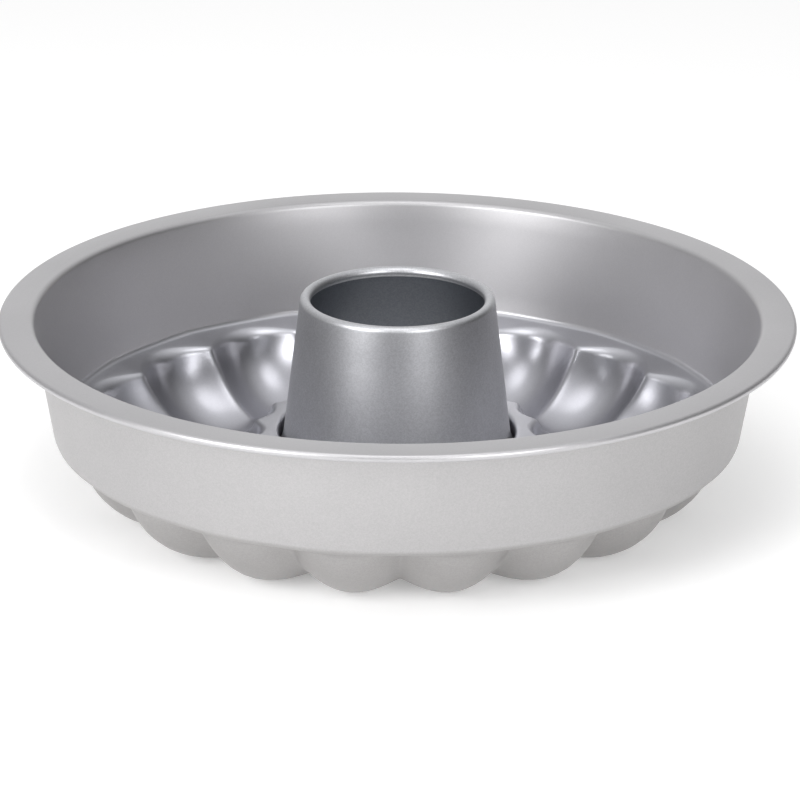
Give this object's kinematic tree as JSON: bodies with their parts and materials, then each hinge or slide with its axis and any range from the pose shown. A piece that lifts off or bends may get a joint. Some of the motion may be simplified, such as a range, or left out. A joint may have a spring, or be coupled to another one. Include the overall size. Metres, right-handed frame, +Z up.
{
  "type": "savarin mould",
  "caption": "Ring-shaped cake mould pressed from coated sheet steel: flat rolled rim, conical wall, radially fluted trough and a separate tapered centre tube locked to the middle plate.",
  "frame": {"origin": "on the mould's axis, on the plane that the lobes under the trough stand on", "axes": "+Z up along the axis towards the open mouth; one of the ridges between the flutes lies on the -Y axis, which faces the picture's camera"},
  "size_m": [0.307, 0.307, 0.0822],
  "materials": {
    "pan_coating": "silver-grey non-stick coating on sheet steel, satin, glossier in the flutes",
    "tube_coating": "darker silver-grey non-stick coating, matt with a fine grain"
  },
  "bodies": {
    "root": {"pan_body": "pan_coating", "centre_tube": "tube_coating"}
  },
  "joints": []
}
